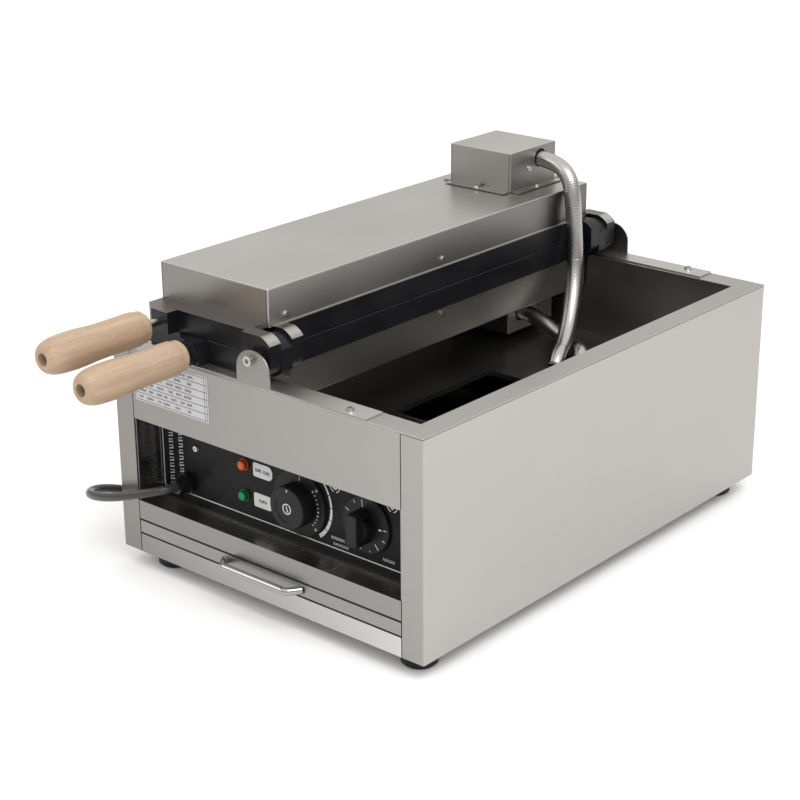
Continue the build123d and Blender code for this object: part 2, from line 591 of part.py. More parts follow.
def terminal(half):
    """The ceramic connector in the junction box."""
    side = half["side"]
    with BuildPart() as block:
        z = tuple(sorted((AXIS_Z + side * (COVER_H + 0.2), AXIS_Z + side * (COVER_H + 18))))
        slab((72, 96), (445, 505), z)
        for k in range(3):
            bar((84, 457 + 18 * k, AXIS_Z + side * 70), (0, 0, side), 3, 10, Mode.SUBTRACT)
    return block


def hose_fitting(half):
    """The ring against the inside of the junction box's wall, which holds the end of the conduit."""
    y, h = half["hole"]
    z = AXIS_Z + half["side"] * h
    with BuildPart() as fitting:
        bar((BOX_X[1] - 9, y, z), (1, 0, 0), 12.2, 9 - THIN)
        chamfer(fitting.faces().sort_by(Axis.X)[0].edges(), 1.0)
        bar((HOSE_START, y, z), (1, 0, 0), HOSE_D / 2 + 0.3, 10, Mode.SUBTRACT)
        bar((BOX_X[1] - 12, y, z), (1, 0, 0), 4.5, 20, Mode.SUBTRACT)
    return fitting


def handle_rod(half):
    """The steel rod screwed into the boss, with its lock nut against the boss."""
    x, z = half["rod_x"], AXIS_Z + half["side"] * ROD_H
    tip = half["grip"][0]
    with BuildPart() as rod:
        bar((x, tip + 12, z), BACK, ROD_R, 8 - tip)
        if half["nose"]:
            hexagon((x, NOSE_Y - half["nose"] - 4.1, z), BACK, 11.0, 4.0)
        bar((x, tip + 8, z), BACK, 6.0, 5)
    return rod


def grip(half):
    """The turned wooden grip, waisted next to the mould and full near its tip."""
    x, z = half["rod_x"], AXIS_Z + half["side"] * ROD_H
    tip, root = half["grip"]
    long = root - tip
    with BuildPart() as wood:
        with BuildSketch(Plane(origin=at(x, tip, z), x_dir=(1, 0, 0), z_dir=(0, 0, 1))):
            with BuildLine():
                Line((0, 0), (8.5, 0))
                Spline(
                    (8.5, 0), (15.0, 5.5), (17.7, 20), (18.0, long * 0.33), (16.6, long * 0.66),
                    (15.2, long * 0.88), (15.6, long - 3),
                    tangents=[(1, 0.12), (0.1, 1)],
                )
                Line((15.6, long - 3), (13.4, long))
                Line((13.4, long), (0, long))
                Line((0, long), (0, 0))
            make_face()
        revolve(axis=Axis(at(x, 0, z), (0, 1, 0)))
        bar((x, tip - 1, z), BACK, ROD_R + 0.2, long + 2, Mode.SUBTRACT)
        bar((x, tip - 1, z), BACK, 6.2, 14.2, Mode.SUBTRACT)
    return wood


MAKERS = {
    "mould_plate": mould_plate,
    "cover": cover_of,
    "cover_screws": screws_of,
    "junction_box": junction_box,
    "heater": heater,
    "insulation": insulation,
    "terminal": terminal,
    "hose_fitting": hose_fitting,
    "handle_rod": handle_rod,
    "grip": grip,
}
for level, half in HALVES.items():
    for piece_name, make in MAKERS.items():
        save(make(half), f"{level}_{piece_name}")

# ---- conduits -------------------------------------------------------------------------------------
with BuildPart() as hose_glands:
    for x, y in HOSE_FLOOR.values():
        bar((x, y, FLOOR_Z - 12), UP, 8.0, 12)
        hexagon((x, y, FLOOR_Z), UP, 22.0, 5.0)
        bar((x, y, FLOOR_Z + 5), UP, 10.0, 4)
        hexagon((x, y, FLOOR_Z - THIN), DOWN, 21.0, 4.0)
        bar((x, y, FLOOR_Z - 20), UP, 5.0, 40, Mode.SUBTRACT)
save(hose_glands, "hose_glands")


def arc_radii(points):
    """The largest tangent arc at each corner: 0.45 of its shorter run over the tangent of half the turn."""
    radii = []
    for a, b, c in zip(points, points[1:], points[2:]):
        before, after = Vector(*b) - Vector(*a), Vector(*c) - Vector(*b)
        turn = before.get_angle(after)
        radii.append(0.45 * min(before.length, after.length) / tan(radians(turn) / 2))
    return radii


def tube(points, diameter, name):
    """Straight runs joined by tangent arcs, swept with a round section."""
    route = [at(*p) for p in points]
    radii = arc_radii(route)
    with BuildPart() as swept:
        with BuildLine() as path:
            FilletPolyline(*route, radius=radii)
        with BuildSketch(Plane(origin=path.line @ 0, z_dir=path.line % 0)):
            Circle(diameter / 2)
        sweep(path=path.line)
    length = sum(edge.length for edge in path.edges())
    ideal = length * 3.14159265 * diameter**2 / 4
    print(f"{name}: length {length:.0f}, volume ratio {swept.part.volume / ideal:.4f}, radii",
          " ".join(f"{r:.0f}" for r in radii))
    save(swept, name)


UPPER_HOSE = [
    (HOSE_START, 491, 328), (165, 491, 328), (188, 489, 317), (196, 486.5, 296), (200, 485, 268),
    (203, 484, 242), (206, 480.5, 219), (210.5, 472.5, 197), (217, 459.5, 177.5), (224.5, 443, 161),
    (233, 423, 149), (240.5, 404, 145), (243, 397, 137),
]
LOWER_HOSE = [
    (HOSE_START, 461, 161.5), (160, 461, 161.5), (180, 461, 154), (199, 460, 146),
    (216, 456.5, 141), (234, 448, 141.5), (250, 433, 143), (254, 428, 137),
]
tube(UPPER_HOSE, HOSE_D, "upper_hose")
tube(LOWER_HOSE, HOSE_D, "lower_hose")

# ---- power cord -----------------------------------------------------------------------------------
FLOOR = CORD_D / 2 - FOOT_H + 0.2
COIL = (-78.0, 232.0)
COIL_IN, COIL_OUT = 38.5, 56.5
GLAND_NOSE = PANEL_Y[0] - 18.0
CORD = [
    (GLAND[0], GLAND_NOSE, GLAND[1]), (GLAND[0] - 2, 5, 75.5), (54, -5, 74), (36, -13, 69), (10, -17, 60),
    (-18, -16, 52), (-43, -8, 46), (-58, 12, 40), (-61, 37, 32), (-55, 62, 22), (-44, 86, 10),
    (-34, 112, -1), (-28, 140, -9), (-25.5, 168, FLOOR), (-25.8, 195, FLOOR),
    (COIL[0] + 52, COIL[1] - 9, FLOOR),
]
PLUG = (-64.0, 366.0, 18.2 - FOOT_H)
PLUG_WAY = (-8 / 17, 15 / 17, 0.0)
TAIL = [
    (COIL[0] + 52, COIL[1] + 6, FLOOR + CORD_D), (-26.2, 258, FLOOR + 7.3), (-29, 282, FLOOR + 1),
    (-36, 306, FLOOR), (-46, 329, FLOOR + 5), (-56, 349.5, PLUG[2]), PLUG,
]
tube(CORD, CORD_D, "power_cord")
tube(TAIL, CORD_D, "power_cord_tail")

with BuildPart() as cord_coil:
    with BuildSketch(Plane(origin=at(COIL[0], COIL[1], 0), x_dir=(1, 0, 0), z_dir=(0, -1, 0))):
        with Locations(((COIL_IN + COIL_OUT) / 2, FLOOR + CORD_D / 2)):
            RectangleRounded(COIL_OUT - COIL_IN, 2 * CORD_D, 4.0)
    revolve(axis=Axis(at(COIL[0], COIL[1], 0), (0, 0, 1)))
save(cord_coil, "cord_coil")

with BuildPart() as power_plug:
    with BuildSketch(Plane(origin=at(*PLUG), z_dir=PLUG_WAY)) as relief:
        Circle(6.4)
    extrude(relief.sketch, amount=30, taper=-4)
    along = tuple(p + 29 * d for p, d in zip(PLUG, PLUG_WAY))
    with BuildSketch(Plane(origin=at(*along), z_dir=PLUG_WAY)) as shoulder:
        Circle(11.0)
    extrude(shoulder.sketch, amount=14, taper=-24)
    front = tuple(p + 43 * d for p, d in zip(PLUG, PLUG_WAY))
    bar(front, PLUG_WAY, 17.4, 14)
    fillet(power_plug.edges().filter_by(GeomType.CIRCLE).sort_by(Axis.Y)[-1], 1.5)
    sideways = (PLUG_WAY[1], -PLUG_WAY[0], 0.0)
    for step in (-9.5, 9.5):
        pin_root = tuple(p + 56 * d + step * c for p, d, c in zip(PLUG, PLUG_WAY, sideways))
        bar(pin_root, PLUG_WAY, 2.4, 20)
save(power_plug, "power_plug")
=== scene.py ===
"""Looks of the table-top waffle cone maker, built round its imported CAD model.

Everything is in metres and in the CAD model's own frame. Places are given with at(x, y, z), in
millimetres from the body's left front bottom corner: x to the right, y to the back, z up.
"""
import json
import math
import random

import bmesh
import bpy
from mathutils import Matrix, Vector


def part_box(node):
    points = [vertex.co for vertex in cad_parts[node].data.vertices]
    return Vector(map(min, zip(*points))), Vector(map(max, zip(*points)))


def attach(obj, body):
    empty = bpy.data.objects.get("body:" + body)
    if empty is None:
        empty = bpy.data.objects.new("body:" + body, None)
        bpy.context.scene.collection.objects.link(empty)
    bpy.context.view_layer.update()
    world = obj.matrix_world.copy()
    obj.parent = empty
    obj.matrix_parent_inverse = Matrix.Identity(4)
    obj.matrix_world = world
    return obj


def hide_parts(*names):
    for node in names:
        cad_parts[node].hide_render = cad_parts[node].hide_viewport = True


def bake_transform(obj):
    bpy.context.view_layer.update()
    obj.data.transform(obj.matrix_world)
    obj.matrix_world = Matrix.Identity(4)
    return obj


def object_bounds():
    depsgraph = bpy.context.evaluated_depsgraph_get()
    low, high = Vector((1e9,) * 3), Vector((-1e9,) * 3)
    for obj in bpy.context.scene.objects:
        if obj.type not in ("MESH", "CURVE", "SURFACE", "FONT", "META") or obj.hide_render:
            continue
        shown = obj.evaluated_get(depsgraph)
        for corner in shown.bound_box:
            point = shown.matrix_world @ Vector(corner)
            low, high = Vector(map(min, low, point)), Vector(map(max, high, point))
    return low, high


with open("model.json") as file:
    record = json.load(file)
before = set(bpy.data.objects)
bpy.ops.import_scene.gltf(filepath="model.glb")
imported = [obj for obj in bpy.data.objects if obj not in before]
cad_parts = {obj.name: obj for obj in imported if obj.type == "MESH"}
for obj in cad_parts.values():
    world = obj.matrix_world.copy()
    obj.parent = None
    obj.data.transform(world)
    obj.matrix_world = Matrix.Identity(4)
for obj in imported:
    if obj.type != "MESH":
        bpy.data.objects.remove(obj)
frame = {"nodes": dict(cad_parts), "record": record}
cad_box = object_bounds()
nodes = frame["nodes"]

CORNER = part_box("outer_shell")[0]
MM = 0.001
X, Y, Z = 0, 1, 2


def at(x, y, z):
    """A point given in millimetres from the body's left front bottom corner."""
    return CORNER + Vector((x, y, z)) * MM


# ---- places shared with the CAD model, in millimetres from the body's corner -------------------------
HINGE_Z = 241.0
BODY_WIDTH = 394.0
MIDDLE_X = BODY_WIDTH / 2
COVER_ENDS = (30.0, 530.0)  # front and back end of the covers, along y
COVER_FOOT, COVER_TOP = 262.5, 299.3  # of the upper cover
FITTING_X = 147.5  # face of the hose fittings, seen through the holes of the junction boxes, painted almost black as shade
STRIP_TOP = 20.5  # top of the body's lowest front strip
STRIP_HALF = 171.7  # half of its length
STRIP_PAINTED_LIGHT = ((0.27,) * 3, (0.60,) * 3)  # painted light at its left and right end
PANEL_Y = 33.0  # front face of the control panel
LABEL_Y = 32.5  # front face of the lamp labels
STICKER_Y = -0.4  # front face of the rating sticker
THERMOSTAT = (217.0, 97.0)
TIMER = (300.0, 99.0)
SKIRT_Y, CAP_RIM_Y, CAP_Y = 29.6, 12.85, 13.62  # faces of the thermostat knob that carry marks
TIMER_Y = 29.42  # face of the timer knob that carries marks
LABELS = (114.2, 83.0)  # heights of the middles of the two lamp labels
HOSE_R = 8.8  # of the conduits, which the CAD model calls hoses
CORD_R = 4.5
CORD_ON_FLOOR = -13.3  # height of the cord's middle where it lies
COIL_X, COIL_Y = -78.0, 232.0
PLATE_MID_X, PLATE_MID_Y, CAVITY_PITCH = 114.5, 280.0, 150.0
PLATE_FACE = 0.15  # distance of a closed plate's cooking face from the hinge line's height
CAVITY_R, CAVITY_DEPTH = 63.0, 1.5
KNUCKLE_X = 171.5  # left edge of the hinge knuckles
LOWER_KNUCKLE = (242.7, 257.0)  # both ends of the lower half's knuckles, along y from the plates' middle
INNER_KNUCKLE = 220.0  # just before the upper half's inner knuckle, along y from the plates' middle

UPPER_HOSE = [
    (144, 491, 328), (165, 491, 328), (188, 489, 317), (196, 486.5, 296), (200, 485, 268),
    (203, 484, 242), (206, 480.5, 219), (210.5, 472.5, 197), (217, 459.5, 177.5), (224.5, 443, 161),
    (233, 423, 149), (240.5, 404, 145), (243, 397, 137),
]
LOWER_HOSE = [
    (144, 461, 161.5), (160, 461, 161.5), (180, 461, 154), (199, 460, 146),
    (216, 456.5, 141), (234, 448, 141.5), (250, 433, 143), (254, 428, 137),
]
CORD = [
    (64, 16, 75), (62, 5, 75.5), (54, -5, 74), (36, -13, 69), (10, -17, 60),
    (-18, -16, 52), (-43, -8, 46), (-58, 12, 40), (-61, 37, 32), (-55, 62, 22), (-44, 86, 10),
    (-34, 112, -1), (-28, 140, -9), (-25.5, 168, CORD_ON_FLOOR), (-25.8, 195, CORD_ON_FLOOR),
]
TAIL = [
    (-26.2, 258, -6), (-29, 282, -12.3), (-36, 306, CORD_ON_FLOOR), (-46, 329, -8.3),
    (-56, 349.5, 0.2), (-64, 366, 0.2),
]


# ---- camera and light -------------------------------------------------------------------------------
CAMERA_PLACE = (1332.5, -1117.1, 814.0)
CAMERA_TURN = (40.791, 21.045, -0.412)  # azimuth, elevation and roll, in degrees
CAMERA_LENS, CAMERA_SENSOR = 84.24, 36


def make_camera():
    """The photo's camera, as it was fitted to the body's edges."""
    azimuth, elevation, roll = (math.radians(turn) for turn in CAMERA_TURN)
    flat = math.cos(elevation)
    back = Vector((math.sin(azimuth) * flat, -math.cos(azimuth) * flat, math.sin(elevation)))
    level = Vector((math.cos(azimuth), math.sin(azimuth), 0))
    up = back.cross(level)
    right = level * math.cos(roll) + up * math.sin(roll)
    up = up * math.cos(roll) - level * math.sin(roll)
    data = bpy.data.cameras.new("camera")
    data.lens = CAMERA_LENS
    data.sensor_width = CAMERA_SENSOR
    camera = bpy.data.objects.new("camera", data)
    bpy.context.scene.collection.objects.link(camera)
    turn = Matrix((right, up, back)).transposed().to_4x4()
    camera.matrix_world = Matrix.Translation(at(*CAMERA_PLACE)) @ turn
    bpy.context.scene.camera = camera


def softbox(name, place, aim, width, height, power):
    """A rectangular area light at a place, turned to its aim."""
    data = bpy.data.lights.new(name, "AREA")
    data.shape = "RECTANGLE"
    data.size, data.size_y = width, height
    data.energy = power
    lamp = bpy.data.objects.new(name, data)
    bpy.context.scene.collection.objects.link(lamp)
    lamp.location = place
    lamp.rotation_euler = (Vector(aim) - Vector(place)).to_track_quat("-Z", "Y").to_euler()


def make_world():
    """A studio that is bright overhead and darker towards the horizon."""
    world = bpy.data.worlds.new("studio")
    world.use_nodes = True
    tree = world.node_tree
    place = tree.nodes.new("ShaderNodeTexCoord")
    parts = tree.nodes.new("ShaderNodeSeparateXYZ")
    tree.links.new(place.outputs["Generated"], parts.inputs[0])
    ramp = tree.nodes.new("ShaderNodeMapRange")
    tree.links.new(parts.outputs[Z], ramp.inputs["Value"])
    heights = {"From Min": 0.03, "From Max": 0.5}
    strengths = {"To Min": 0.30, "To Max": 1.18}
    for socket, number in {**heights, **strengths}.items():
        ramp.inputs[socket].default_value = number
    background = tree.nodes["Background"]
    background.inputs["Color"].default_value = (1.0, 0.985, 0.965, 1)
    tree.links.new(ramp.outputs["Result"], background.inputs["Strength"])
    bpy.context.scene.world = world


def make_floor():
    """A pale floor, wide enough for its edge to stay out of every view."""
    bm = bmesh.new()
    bmesh.ops.create_grid(bm, x_segments=1, y_segments=1, size=30)
    mesh = bpy.data.meshes.new("floor")
    bm.to_mesh(mesh)
    bm.free()
    floor = bpy.data.objects.new("floor", mesh)
    bpy.context.scene.collection.objects.link(floor)
    material = bpy.data.materials.new("pale_floor")
    material.use_nodes = True
    shader = material.node_tree.nodes["Principled BSDF"]
    shader.inputs["Base Color"].default_value = (0.93, 0.93, 0.93, 1)
    shader.inputs["Roughness"].default_value = 0.9
    mesh.materials.append(material)


# ---- node trees --------------------------------------------------------------------------------------
def shaded(colour, share):
    return tuple(c * share for c in colour)


class Tree:
    """A material's node tree with short calls for the few kinds of node that the materials use."""

    def __init__(self, name, metallic=0.0, coat=0.0, coat_roughness=0.1, specular=0.5, **sockets):
        self.material = bpy.data.materials.new(name)
        self.material.use_nodes = True
        self.nodes = self.material.node_tree.nodes
        self.links = self.material.node_tree.links
        self.shader = self.nodes["Principled BSDF"]
        self.set("Metallic", metallic)
        self.set("Coat Weight", coat)
        self.set("Coat Roughness", coat_roughness)
        self.set("Specular IOR Level", specular)
        for socket, value in sockets.items():
            self.set(socket.replace("_", " "), value)
        self.place = self.nodes.new("ShaderNodeTexCoord")

    def set(self, socket, value):
        self.shader.inputs[socket].default_value = value

    def feed(self, target, value):
        if isinstance(value, bpy.types.NodeSocket):
            self.links.new(value, target)
        elif isinstance(value, (tuple, Vector)) and len(value) == 3 and target.type == "RGBA":
            target.default_value = (*value, 1)
        else:
            target.default_value = value

    def shade(self, socket, value):
        self.feed(self.shader.inputs[socket], value)

    def scaled(self, x, y, z):
        """Object coordinates, in metres, times a factor along each axis."""
        node = self.nodes.new("ShaderNodeMapping")
        self.links.new(self.place.outputs["Object"], node.inputs["Vector"])
        node.inputs["Scale"].default_value = (x, y, z)
        return node.outputs["Vector"]

    def noise(self, vector, detail=3.0, rough=0.55):
        node = self.nodes.new("ShaderNodeTexNoise")
        self.feed(node.inputs["Vector"], vector)
        node.inputs["Scale"].default_value = 1.0
        node.inputs["Detail"].default_value = detail
        node.inputs["Roughness"].default_value = rough
        return node.outputs["Fac"]

    def cells(self, vector):
        node = self.nodes.new("ShaderNodeTexVoronoi")
        self.feed(node.inputs["Vector"], vector)
        node.inputs["Scale"].default_value = 1.0
        return node.outputs["Distance"]

    def ramp(self, value, low, high, out_low=0.0, out_high=1.0):
        node = self.nodes.new("ShaderNodeMapRange")
        self.feed(node.inputs["Value"], value)
        limits = {"From Min": low, "From Max": high, "To Min": out_low, "To Max": out_high}
        for socket, number in limits.items():
            node.inputs[socket].default_value = number
        return node.outputs["Result"]

    def mix(self, share, a, b):
        node = self.nodes.new("ShaderNodeMix")
        node.data_type = "RGBA"
        self.feed(node.inputs["Factor"], share)
        self.feed(node.inputs[6], a)
        self.feed(node.inputs[7], b)
        return node.outputs[2]

    def math(self, kind, a, b=0.0):
        node = self.nodes.new("ShaderNodeMath")
        node.operation = kind
        self.feed(node.inputs[0], a)
        self.feed(node.inputs[1], b)
        return node.outputs[0]

    def normal_part(self, axis):
        """How far the surface faces along x, y or z, from -1 to 1, on the piece itself."""
        node = self.nodes.new("ShaderNodeSeparateXYZ")
        self.links.new(self.place.outputs["Normal"], node.inputs[0])
        return node.outputs[axis]

    def coordinate(self, axis):
        node = self.nodes.new("ShaderNodeSeparateXYZ")
        self.links.new(self.place.outputs["Object"], node.inputs[0])
        return node.outputs[axis]

    def along(self, axis, low, high, out_low=0.0, out_high=1.0):
        """A ramp between two places on an axis, in millimetres from the body's corner."""
        start, end = (CORNER[axis] + place * MM for place in (low, high))
        return self.ramp(self.coordinate(axis), start, end, out_low, out_high)

    def distance(self, axis, place):
        """How far a point is, in metres, from the plane at a place on an axis."""
        return self.math("ABSOLUTE", self.math("SUBTRACT", self.coordinate(axis), CORNER[axis] + place * MM))

    def bump(self, height, strength, distance):
        node = self.nodes.new("ShaderNodeBump")
        node.inputs["Strength"].default_value = strength
        node.inputs["Distance"].default_value = distance
        self.feed(node.inputs["Height"], height)
        self.links.new(node.outputs["Normal"], self.shader.inputs["Normal"])


def brushed(name, dark, light, rough=(0.26, 0.38), along="y", stain=0.0, front=(0.57, 0.80), side=None):
    """Satin stainless sheet with fine streaks and broad clouds.

    front gives painted shade: the tone of faces to the front at the body's left and right, as a share of the
    middle tone, in place of their streaks; the lowest strip has its own painted light, brighter. side gives
    painted light and
    shade: the tone of faces to the right at the front and back end of the upper cover, above it, and below
    the hinge line, with a painted highlight along the upper cover's lower edge.
    """
    tree = Tree(name, metallic=1.0)
    streak = {"y": (900, 9, 1500), "x": (9, 900, 1500)}[along]
    level = {"y": (1400, 6, 1400), "x": (6, 1400, 1400)}[along]
    flat = tree.math("ABSOLUTE", tree.normal_part(Z))
    fine_side = tree.noise(tree.scaled(*streak), detail=4)
    fine_top = tree.noise(tree.scaled(*level), detail=4)
    fine = tree.mix(tree.ramp(flat, 0.4, 0.6), fine_side, fine_top)
    cloud = tree.noise(tree.scaled(7, 5, 9), detail=2)
    tone = tree.math("ADD", tree.ramp(fine, 0.25, 0.75, 0.0, 0.30), tree.ramp(cloud, 0.3, 0.7, 0.0, 0.70))
    middle = tuple((a + b) / 2 for a, b in zip(dark, light))
    colour = tree.mix(tone, dark, light)
    if stain:
        brown = tree.ramp(tree.noise(tree.scaled(11, 9, 12), detail=5), 0.48, 0.72, 0.0, stain)
        colour = tree.mix(brown, colour, (0.20, 0.15, 0.105))
    # painted light and shade on faces to the right, which vary along the upper cover and above and below it
    if side:
        near, far, high, under = (shaded(middle, share) for share in side)
        low = tree.mix(tree.along(Y, *COVER_ENDS), near, far)
        # a painted highlight along the upper cover's lower edge
        low = tree.mix(tree.along(Z, COVER_FOOT + 0.9, COVER_FOOT + 1.5), shaded(light, 1.6), low)
        low = tree.mix(tree.along(Z, HINGE_Z - 1, HINGE_Z), under, low)
        low = tree.mix(tree.along(Z, COVER_TOP, COVER_TOP + 1), low, high)
        colour = tree.mix(tree.ramp(tree.normal_part(X), 0.5, 0.9), colour, low)
    # painted shade on faces to the front, from darker at the left to lighter at the right
    left, right = (shaded(middle, share) for share in front)
    facing = tree.mix(tree.along(X, 0, BODY_WIDTH), left, right)
    low_down = tree.along(Z, STRIP_TOP - 0.3, STRIP_TOP + 0.3, 1.0, 0.0)
    between_ends = tree.ramp(
        tree.distance(X, MIDDLE_X), (STRIP_HALF - 0.2) * MM, (STRIP_HALF + 0.2) * MM, 1.0, 0.0)
    # painted light on the lowest front strip, darker at its left end than at its right
    strip = tree.mix(tree.along(X, MIDDLE_X - 172, MIDDLE_X + 172), *STRIP_PAINTED_LIGHT)
    facing = tree.mix(tree.math("MULTIPLY", low_down, between_ends), facing, strip)
    # faces to the front take the painted tone in place of their streaks
    to_front = tree.ramp(tree.normal_part(Y), -0.9, -0.4, 1.0, 0.0)
    tree.shade("Base Color", tree.mix(to_front, colour, facing))
    tree.shade("Roughness", tree.ramp(tone, 0.1, 0.9, *rough))
    tree.bump(fine, 0.015, 0.00005)
    return tree.material


def bright_metal(name, colour, rough, grain=1800, painted_shade_x=None):
    """Plain bright metal. Its faces that lie in the plane at the x given as its last argument are painted
    almost black, as shade.
    """
    tree = Tree(name, metallic=1.0)
    fine = tree.noise(tree.scaled(grain, grain, grain), detail=2)
    tone = tree.mix(fine, shaded(colour, 0.86), colour)
    # painted shade: faces in that plane are almost black
    if painted_shade_x:
        tone = tree.mix(tree.ramp(tree.distance(X, painted_shade_x), 0.0003, 0.0005), (0.01, 0.01, 0.01), tone)
    tree.shade("Base Color", tone)
    tree.shade("Roughness", tree.ramp(fine, 0.3, 0.7, rough * 0.8, rough * 1.3))
    tree.bump(fine, 0.08, 0.00005)
    return tree.material


def moulded(name, colour, rough, grain=2600, relief=0.00005, specular=0.5, coat=0.0):
    """Moulded plastic or rubber: fine grain and slightly paler clouds."""
    tree = Tree(name, specular=specular, coat=coat)
    grains = tree.noise(tree.scaled(grain, grain, grain), detail=2)
    cloud = tree.noise(tree.scaled(45, 45, 45), detail=3)
    pale = tuple(min(1.0, c * 1.35 + 0.008) for c in colour)
    tree.shade("Base Color", tree.mix(tree.ramp(cloud, 0.35, 0.75), colour, pale))
    tree.shade("Roughness", tree.ramp(cloud, 0.3, 0.7, rough * 0.9, min(1.0, rough * 1.15)))
    tree.bump(grains, 0.35, relief)
    return tree.material


def casting():
    """Black coated casting with sandy grain.

    The knuckles, and the strip in front of the cover, are machined on their outward faces and bevels; the
    bevels' metal is painted paler, as a highlight.
    The lower half's knuckles and the rear inner one of the upper half keep their black coat.
    """
    tree = Tree("casting_black", specular=0.24)
    sand = tree.noise(tree.scaled(900, 900, 900), detail=3)
    cloud = tree.noise(tree.scaled(30, 14, 30), detail=4)
    coat = tree.mix(tree.ramp(cloud, 0.35, 0.7), (0.0060, 0.0062, 0.0078), (0.0120, 0.0125, 0.0150))
    outward = tree.math("ABSOLUTE", tree.normal_part(Z))
    clear_of_hinge = tree.ramp(tree.distance(Z, HINGE_Z), 0.0105, 0.0112)
    worn = tree.math("MULTIPLY", tree.ramp(outward, 0.50, 0.80), clear_of_hinge)

    # the knuckles that keep their coat
    off = tree.distance(Y, PLATE_MID_Y)
    start, end = (place * MM for place in LOWER_KNUCKLE)
    soft = 0.0001
    before_end = tree.ramp(off, end - soft, end + soft, 1.0, 0.0)
    lower = tree.math("MULTIPLY", tree.ramp(off, start - soft, start + soft), before_end)
    inner_y = PLATE_MID_Y + INNER_KNUCKLE
    before_lower = tree.ramp(off, start, start + 2 * soft, 1.0, 0.0)
    inner = tree.math("MULTIPLY", tree.along(Y, inner_y, inner_y + 0.5), before_lower)
    at_knuckles = tree.along(X, KNUCKLE_X, KNUCKLE_X + 0.5)
    coated = tree.math("MULTIPLY", tree.math("MAXIMUM", lower, inner), at_knuckles)
    worn = tree.math("MULTIPLY", worn, tree.math("SUBTRACT", 1.0, coated))

    fine = tree.noise(tree.scaled(300, 2200, 300), detail=3)
    worn = tree.math("MULTIPLY", worn, tree.ramp(fine, 0.2, 0.5, 0.86, 1.0))
    flat_metal = tree.mix(fine, (0.150, 0.143, 0.133), (0.235, 0.224, 0.210))
    # painted highlight: the bevels get a paler metal than the flat faces
    bevel_highlight_metal = tree.mix(fine, (0.34, 0.33, 0.315), (0.50, 0.485, 0.46))
    metal = tree.mix(tree.ramp(outward, 0.93, 0.97), bevel_highlight_metal, flat_metal)
    coat_rough, metal_rough = tree.ramp(cloud, 0.3, 0.7, 0.26, 0.38), tree.ramp(fine, 0.3, 0.7, 0.30, 0.42)
    tree.shade("Base Color", tree.mix(worn, coat, metal))
    tree.shade("Metallic", worn)
    tree.shade("Roughness", tree.mix(worn, coat_rough, metal_rough))
    tree.bump(sand, 0.16, 0.00008)
    return tree.material


def beech():
    """Turned beech: long pale grain along the handle, short dark flecks, warmer rings."""
    tree = Tree("beech", coat=0.08, coat_roughness=0.35, specular=0.35)
    grain = tree.noise(tree.scaled(260, 9, 260), detail=5, rough=0.6)
    ring = tree.noise(tree.scaled(70, 3.5, 70), detail=3)
    fleck = tree.ramp(tree.noise(tree.scaled(900, 75, 900), detail=2), 0.60, 0.70)
    base = tree.mix(tree.ramp(ring, 0.35, 0.65), (0.385, 0.268, 0.180), (0.455, 0.340, 0.239))
    base = tree.mix(tree.ramp(grain, 0.42, 0.68, 0.0, 0.42), base, (0.315, 0.21, 0.13))
    tree.shade("Base Color", tree.mix(tree.math("MULTIPLY", fleck, 0.30), base, (0.245, 0.155, 0.09)))
    tree.shade("Roughness", tree.ramp(grain, 0.3, 0.7, 0.46, 0.60))
    tree.bump(tree.math("ADD", grain, tree.math("MULTIPLY", fleck, -0.4)), 0.22, 0.00012)
    return tree.material


def lens(name, colour, glow):
    """Moulded lamp cap with fine inner ribs: its own colour where it faces the front, painted shade on its
    sides.
    """
    tree = Tree(name, coat=0.2, coat_roughness=0.15, specular=0.15)
    rib = tree.cells(tree.scaled(900, 900, 900))
    # painted shade on the cap's sides
    facing = tree.ramp(tree.normal_part(1), -0.95, -0.35, 1.0, 0.0)
    deep, pale = shaded(colour, 0.22), shaded(colour, 0.85)
    tree.shade("Base Color", tree.mix(facing, deep, tree.mix(rib, pale, colour)))
    tree.shade("Roughness", tree.ramp(rib, 0.1, 0.7, 0.26, 0.36))
    tree.set("Emission Color", (*colour, 1))
    tree.set("Emission Strength", glow)
    tree.bump(rib, 0.15, 0.0001)
    return tree.material


def paper(name, colour, rough=0.42):
    """Printed paper, foil or paint with a fine fibre grain."""
    tree = Tree(name, specular=0.4)
    fibre = tree.noise(tree.scaled(1500, 1500, 1500), detail=3)
    cloud = tree.noise(tree.scaled(30, 30, 30), detail=2)
    tree.shade("Base Color", tree.mix(tree.ramp(cloud, 0.3, 0.7), shaded(colour, 0.93), colour))
    tree.shade("Roughness", tree.ramp(fibre, 0.3, 0.7, rough * 0.85, rough * 1.15))
    tree.bump(fibre, 0.10, 0.00003)
    return tree.material


def wool():
    tree = Tree("mineral_wool", specular=0.1)
    fibre = tree.noise(tree.scaled(240, 60, 700), detail=6, rough=0.7)
    tree.shade("Base Color", tree.mix(fibre, (0.50, 0.45, 0.30), (0.78, 0.73, 0.58)))
    tree.shade("Roughness", tree.ramp(fibre, 0.2, 0.8, 0.85, 1.0))
    tree.bump(fibre, 0.9, 0.001)
    return tree.material


